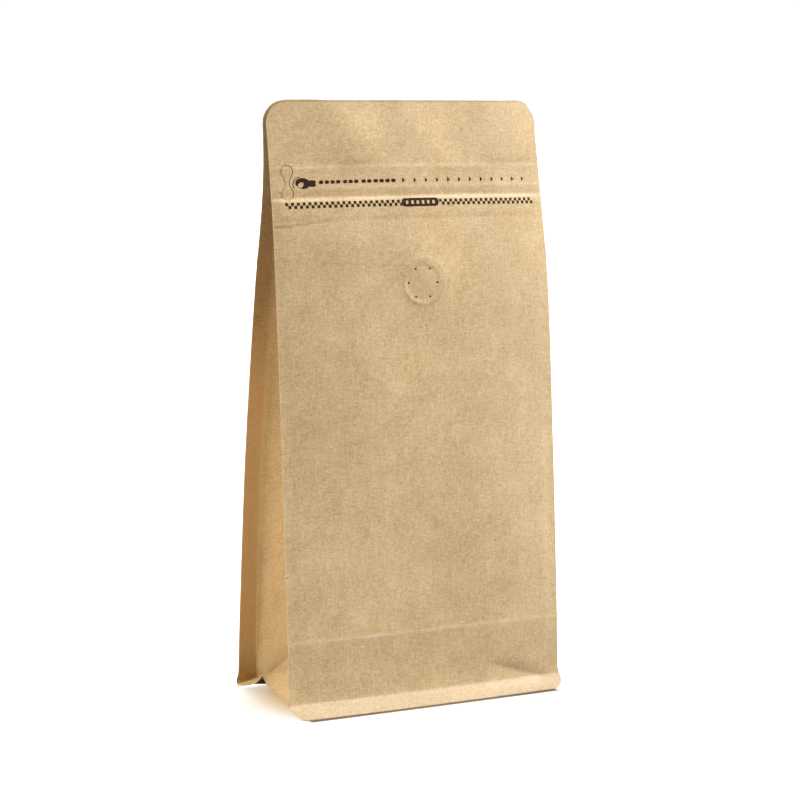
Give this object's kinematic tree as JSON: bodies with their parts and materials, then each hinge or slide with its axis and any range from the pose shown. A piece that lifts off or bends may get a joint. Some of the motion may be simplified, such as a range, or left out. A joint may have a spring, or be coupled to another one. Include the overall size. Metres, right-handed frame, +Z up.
{
  "type": "coffee bag with valve",
  "caption": "Flat-bottom kraft paper coffee bag, standing empty and pressed shut, with side gussets, sealed edges, a zip ridge, a tear tab and a round valve.",
  "frame": {"origin": "on the floor, under the middle of the bag's box", "axes": "+Z up along the bag's height, +X to the right along its width, +Y towards its back; the front panel with the valve faces -Y"},
  "size_m": [0.1392, 0.0692, 0.265],
  "materials": {
    "kraft_paper": "matte brown kraft paper with fine fibres",
    "valve_paper": "matte kraft paper pressed over a disc",
    "printed_ink": "matte dark brown print"
  },
  "bodies": {
    "root": {"pouch": "kraft_paper", "valve": "valve_paper", "pull_tab": "kraft_paper"}
  },
  "joints": []
}
